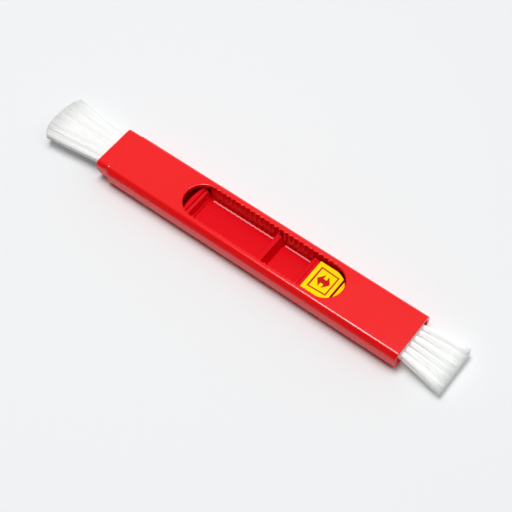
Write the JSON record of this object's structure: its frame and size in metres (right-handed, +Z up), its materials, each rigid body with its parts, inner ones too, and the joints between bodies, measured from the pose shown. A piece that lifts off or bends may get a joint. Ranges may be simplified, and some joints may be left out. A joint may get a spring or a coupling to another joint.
{
  "type": "retractable bench cleaning brush",
  "caption": "Pocket cleaning brush with a flat moulded sleeve, a sliding carriage in a long scalloped window, a soft fan brush at one end and a stiff tufted brush at the other.",
  "frame": {"origin": "middle of the flat underside of the sleeve", "axes": "+X runs along the sleeve toward the tufted brush, +Y is across it, +Z is up out of the window"},
  "size_m": [0.1682, 0.0202, 0.009],
  "materials": {
    "shell_red": "moulded plastic with a soft gloss",
    "carriage_red": "moulded plastic with a soft gloss",
    "fan_bristle": "fine soft synthetic bristle",
    "tuft_bristle": "stiff synthetic bristle",
    "label_film": "printed adhesive film",
    "root_resin": "cast resin",
    "spring_steel": "rolled strip",
    "pin_steel": "turned pin",
    "anchor_brass": "flat wire"
  },
  "bodies": {
    "body": {"sleeve": "shell_red", "nose_collar": "shell_red"},
    "slider": {"carriage": "carriage_red", "detent_spring": "spring_steel", "pad_label": "label_film", "tail_label": "label_film", "fan_ferrule": "carriage_red", "fan_root_plug": "root_resin", "fan_bristles": "fan_bristle", "fan_ferrule_pin": "pin_steel", "tuft_block": "carriage_red", "tuft_block_pin": "pin_steel", "tuft_upper_1": "tuft_bristle", "tuft_upper_2": "tuft_bristle", "tuft_upper_3": "tuft_bristle", "tuft_upper_4": "tuft_bristle", "tuft_upper_5": "tuft_bristle", "tuft_upper_6": "tuft_bristle", "tuft_lower_1": "tuft_bristle", "tuft_lower_2": "tuft_bristle", "tuft_lower_3": "tuft_bristle", "tuft_lower_4": "tuft_bristle", "tuft_lower_5": "tuft_bristle", "tuft_lower_6": "tuft_bristle", "tuft_anchor_upper_1": "anchor_brass", "tuft_anchor_upper_2": "anchor_brass", "tuft_anchor_upper_3": "anchor_brass", "tuft_anchor_upper_4": "anchor_brass", "tuft_anchor_upper_5": "anchor_brass", "tuft_anchor_upper_6": "anchor_brass", "tuft_anchor_lower_1": "anchor_brass", "tuft_anchor_lower_2": "anchor_brass", "tuft_anchor_lower_3": "anchor_brass", "tuft_anchor_lower_4": "anchor_brass", "tuft_anchor_lower_5": "anchor_brass", "tuft_anchor_lower_6": "anchor_brass"}
  },
  "joints": [
    {"name": "carriage_slide", "type": "slide", "parent": "body", "child": "slider", "axis": [1, 0, 0], "range_m": [-0.01624, 0.01624], "deforming": ["fan_bristles", "detent_spring", "tuft_upper_1", "tuft_upper_2", "tuft_upper_3", "tuft_upper_4", "tuft_upper_5", "tuft_upper_6", "tuft_lower_1", "tuft_lower_2", "tuft_lower_3", "tuft_lower_4", "tuft_lower_5", "tuft_lower_6"]}
  ]
}
